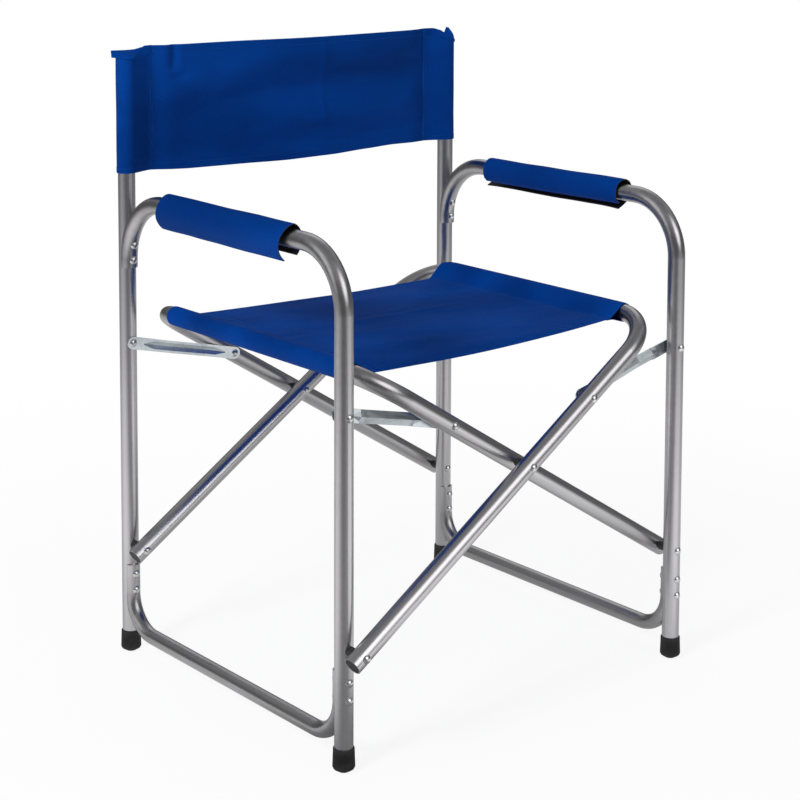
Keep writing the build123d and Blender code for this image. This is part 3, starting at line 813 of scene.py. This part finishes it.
# ---------------------------------------------------------------- arm covers
# section of an arm cover in millimetres: outwards and up from the arm's axis, from inner to outer flap
COVER_SECTION = [(-6.0, -20.5), (-10.4, -14.0), (-12.6, -5.0), (-12.6, 3.0), (-10.2, 10.0), (-4.5, 15.2),
                 (2.0, 16.6), (9.5, 13.0), (15.5, 5.5), (18.0, -3.5), (16.5, -12.5), (11.0, -21.0),
                 (5.0, -26.5)]
COVER_THICK = 1.8 * MM
COVER_ROWS = 56
COVER_STITCH_LINES = (0.93, 0.055)  # near the edges of the two flaps
FLAP_LIFT = {"left": (0.0, 0.0), "right": (6.0, 4.0)}  # inner and outer flap edges, against the section
REAR_DROP = {"left": 0.0, "right": 2.2}


def cover_point(side, u, v, section):
    """u runs from the inner flap's edge over the top to the outer flap's edge, v from front to rear."""
    sign = 1 if side == "right" else -1
    k = u * (len(section) - 1)
    i = min(int(k), len(section) - 2)
    o, z = (lerp(section[i][c], section[i + 1][c], k - i) for c in (0, 1))
    outer = smooth((u - 0.62) / 0.38)
    front = -lerp(132.0, 121.0, outer) - 3.0 * bump(u, 0.52, 0.2)
    rear = lerp(130.0, 139.0, outer)
    z -= REAR_DROP[side] * smooth(v * 1.4)
    ends = abs(2 * v - 1) ** 6
    inner_lift, outer_lift = FLAP_LIFT[side]
    z += inner_lift * smooth((0.2 - u) / 0.2) + outer_lift * smooth((u - 0.8) / 0.2)
    z -= outer * (1.2 * ends + 0.8 * math.sin(3.3 * v + 0.8))
    o -= outer * 2.4 * ends
    ripple = 0.55 * wobble(u * 3.0, v * 5.0, 1.0, 2.0 + sign)
    away = Vector((o, z)).normalized() * ripple
    o, z = o + away.x * (1 if o > 0 else 0.3), z + away.y
    return Vector((sign * (POST_X + o * MM), lerp(front, rear, v) * MM, ARM_Z + z * MM))


def build_cover(side):
    section = rounded(COVER_SECTION, 4)
    columns = len(section) - 1
    rows = []
    for j in range(COVER_ROWS + 1):
        rows.append([cover_point(side, i / columns, j / COVER_ROWS, section) for i in range(columns + 1)])
    if side == "left":
        rows = [list(reversed(row)) for row in rows]
    materials = [COVER_CANVAS, LINING, THREAD]
    cover = grid_object(f"{side}_arm_cover_cloth", rows, materials, COVER_THICK, lining=True)
    lines = []
    for u in COVER_STITCH_LINES:
        line = []
        for k in range(160):
            v = 0.015 + 0.97 * k / 159
            p = cover_point(side, u, v, section)
            q = cover_point(side, u + 0.01, v, section)
            tangent = (q - p).normalized()
            out = tangent.cross(Vector((0, 1, 0)))
            if out.dot(Vector((p.x - middle(f"{side}_rear_post").x, 0, p.z - ARM_Z))) < 0:
                out = -out
            line.append((p + out * (COVER_THICK / 2), out))
        lines.append(line)
    add_stitches(cover, lines, 2)
    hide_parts(f"{side}_arm_cover")
    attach(cover, f"{side}_frame")
    return cover


# ---------------------------------------------------------------- stage, light and camera
TO_CAMERA = (-0.631, -0.776, 0.0)
TO_LEFT = (-0.966, 0.26, 0.0)
TO_FRONT = (0.30, -0.95, 0.0)
AMBIENT = 0.28  # strength of the studio as diffuse light, against its strength in reflections
FLOOR_WHITE = 0.90  # share of the floor that is as white as the backdrop, so that shadows stay faint


def lobe(n, direction, towards, core, reach, amount):
    """Soft patch of light (or of shade, if amount is below 0) round a direction; angles in degrees."""
    dot = n.add("ShaderNodeVectorMath", operation="DOT_PRODUCT")
    n.link(direction, dot.inputs[0])
    dot.inputs[1].default_value = Vector(towards).normalized()
    patch = n.add("ShaderNodeMapRange", interpolation_type="SMOOTHSTEP")
    n.link(dot.outputs["Value"], patch.inputs["Value"])
    edge, full = math.cos(math.radians(reach)), math.cos(math.radians(core))
    n.put(patch, From_Min=edge, From_Max=full, To_Max=amount)
    return patch.outputs["Result"]


def normalised(n, vector):
    unit = n.add("ShaderNodeVectorMath", operation="NORMALIZE")
    n.link(vector, unit.inputs[0])
    return unit.outputs["Vector"]


def split_rays(n, ray, seen, other):
    """Shader that is seen by one kind of ray, and other for the rest."""
    path = n.add("ShaderNodeLightPath")
    mix = n.add("ShaderNodeMixShader")
    n.link(path.outputs[ray], mix.inputs[0])
    n.link(other, mix.inputs[1])
    n.link(seen, mix.inputs[2])
    return mix.outputs[0]


def build_floor():
    """Pale floor: near white to the eye, and in reflections a glowing sheet of painted light that falls off
    into the studio, with a painted shadow under the chair and painted streaks.
    """
    material = bpy.data.materials.new("pale_floor")
    n = Nodes(material)
    cloud = n.noise(n.coords, 1.5, 2.0)
    paint = n.put(n.add("ShaderNodeBsdfDiffuse"), Roughness=0.9)
    n.link(n.ramp(cloud, [(0.3, (0.90, 0.90, 0.90)), (0.7, (0.93, 0.93, 0.93))]), paint.inputs["Color"])
    glow = n.put(n.add("ShaderNodeEmission"), Color=(1, 1, 1, 1), Strength=1.0)
    reach = n.add("ShaderNodeVectorMath", operation="LENGTH")
    n.link(n.coords, reach.inputs[0])
    distance = reach.outputs["Value"]
    fade = n.grey(n.maths("MULTIPLY", distance, 0.5), FLOOR_WHITE, 1.0, 0.15, 0.75)
    pale = n.add("ShaderNodeMixShader")
    n.link(fade, pale.inputs[0])
    n.link(paint.outputs[0], pale.inputs[1])
    n.link(glow.outputs[0], pale.inputs[2])
    # painted light in reflections: the glow is dim under the chair (a painted shadow), brightest about 0.9
    # m out, then fades with distance
    stops = [(0.0, 0.36), (0.05, 0.52), (0.11, 0.74), (0.18, 0.62), (0.30, 0.38), (0.50, 0.20), (1.0, 0.12)]
    eighths = n.maths("MULTIPLY", distance, 1 / 8)  # the sheet reaches 8 m
    sheet = n.ramp(eighths, [(at, (level,) * 3) for at, level in stops])
    direction = normalised(n, n.coords)
    # painted reflections: the floor glow is darker on the camera's side and brighter to the left and to the
    # front, giving dark and bright streaks on the tubes
    streaks = n.maths("ADD", lobe(n, direction, TO_CAMERA, 8, 34, -0.55), 1.0)
    streaks = n.maths("ADD", streaks, lobe(n, direction, TO_LEFT, 10, 34, 0.55))
    streaks = n.maths("ADD", streaks, lobe(n, direction, TO_FRONT, 10, 34, 0.65))
    mirrored = n.add("ShaderNodeEmission")
    n.link(sheet, mirrored.inputs["Color"])
    n.link(streaks, mirrored.inputs["Strength"])
    n.link(split_rays(n, "Is Glossy Ray", mirrored.outputs[0], pale.outputs[0]), n.out.inputs["Surface"])
    mesh = bpy.data.meshes.new("floor")
    far = 40.0
    mesh.from_pydata([(-far, -far, 0), (far, -far, 0), (far, far, 0), (-far, far, 0)], [], [(0, 1, 2, 3)])
    mesh.materials.append(material)
    floor = bpy.data.objects.new("floor", mesh)
    bpy.context.scene.collection.objects.link(floor)


def build_world():
    """White to the camera; a dark studio with soft boxes in reflections, so that the tubes show form."""
    world = bpy.data.worlds.new("studio")
    bpy.context.scene.world = world
    n = Nodes(world, "ShaderNodeOutputWorld", "Generated")
    height = n.add("ShaderNodeSeparateXYZ")
    n.link(n.coords, height.inputs[0])
    stops = [(0.0, 0.12), (0.34, 0.14), (0.46, 0.26), (0.68, 0.40), (0.86, 0.30), (1.0, 0.26)]
    room = n.ramp(height.outputs["Z"], [(at, (level, level, level * 1.02)) for at, level in stops])
    level = n.maths("ADD", room, lobe(n, n.coords, (0.10, -0.86, 0.48), 15, 27, 1.9))
    level = n.maths("ADD", level, lobe(n, n.coords, (-0.93, 0.30, 0.35), 8, 26, 0.8))
    level = n.maths("ADD", level, lobe(n, n.coords, (0.55, 0.70, 0.62), 8, 24, 0.6))
    studio = n.add("ShaderNodeBackground")
    n.link(level, studio.inputs["Color"])
    mirrored = n.add("ShaderNodeLightPath").outputs["Is Glossy Ray"]
    n.link(n.maths("MAXIMUM", mirrored, AMBIENT), studio.inputs["Strength"])
    white = n.put(n.add("ShaderNodeBackground"), Color=(1, 1, 1, 1), Strength=1.05)
    n.link(split_rays(n, "Is Camera Ray", white.outputs[0], studio.outputs[0]), n.out.inputs["Surface"])


def area_light(name, location, target, size, power):
    data = bpy.data.lights.new(name, "AREA")
    data.shape = "RECTANGLE"
    data.size, data.size_y = size
    data.energy = power
    light = bpy.data.objects.new(name, data)
    light.visible_glossy = False  # the tubes mirror the studio instead
    light.location = location
    light.rotation_euler = (Vector(target) - Vector(location)).to_track_quat("-Z", "Y").to_euler()
    bpy.context.scene.collection.objects.link(light)


def build_lights():
    area_light("key", (-2.9, -0.7, 2.3), (0, 0, 0.45), (0.7, 0.9), 62)
    area_light("front", (-2.3, -2.4, 1.3), (0, 0, 0.4), (0.5, 1.4), 10)
    area_light("top", (0.2, 0.4, 3.4), (0, 0, 0.3), (1.6, 1.6), 26)
    area_light("rear", (2.0, 2.2, 1.6), (0, 0, 0.5), (0.8, 2.0), 10)


CAMERA_AT = Vector((-1.6035, -1.9748, 1.0195))
CAMERA_AZIMUTH = math.radians(-39.10)
CAMERA_PITCH = math.radians(5.617)  # down from level
CAMERA_ROLL = math.radians(0.191)
CAMERA_SHIFT = (-0.00308, -0.42007)
FOCAL_LENGTH = 91.038


def build_camera():
    data = bpy.data.cameras.new("camera")
    camera = bpy.data.objects.new("camera", data)
    bpy.context.scene.collection.objects.link(camera)
    bpy.context.scene.camera = camera
    data.sensor_width = 36.0
    data.lens = FOCAL_LENGTH
    camera.location = CAMERA_AT
    level = Vector((-math.sin(CAMERA_AZIMUTH), math.cos(CAMERA_AZIMUTH), 0))
    forward = level * math.cos(CAMERA_PITCH) - Vector((0, 0, math.sin(CAMERA_PITCH)))
    camera.rotation_euler = forward.to_track_quat("-Z", "Y").to_euler()
    camera.rotation_euler.rotate_axis("Z", CAMERA_ROLL)
    hold_shift(camera, "shift_x", CAMERA_SHIFT[0])
    hold_shift(camera, "shift_y", CAMERA_SHIFT[1])
    data.clip_end = 50


def hold_shift(camera, path, amount):
    """Lens shift for the main standpoint only: a camera moved elsewhere looks straight."""
    curve = camera.data.driver_add(path)
    curve.driver.type = "SCRIPTED"
    for name, channel in (("px", "LOC_X"), ("pz", "LOC_Z")):
        variable = curve.driver.variables.new()
        variable.name = name
        variable.type = "TRANSFORMS"
        variable.targets[0].id = camera
        variable.targets[0].transform_type = channel
        variable.targets[0].transform_space = "WORLD_SPACE"
    near = f"abs(px - {CAMERA_AT.x:.4f}) + abs(pz - {CAMERA_AT.z:.4f})"
    curve.driver.expression = f"{amount} if {near} < 0.01 else 0.0"


paint_frame()
build_seat()
build_back_panel()
for chair_side in ("left", "right"):
    build_back_sleeve(chair_side)
    build_cover(chair_side)
build_floor()
build_world()
build_lights()
build_camera()
bpy.context.scene.view_settings.view_transform = "Standard"
bpy.context.view_layer.update()
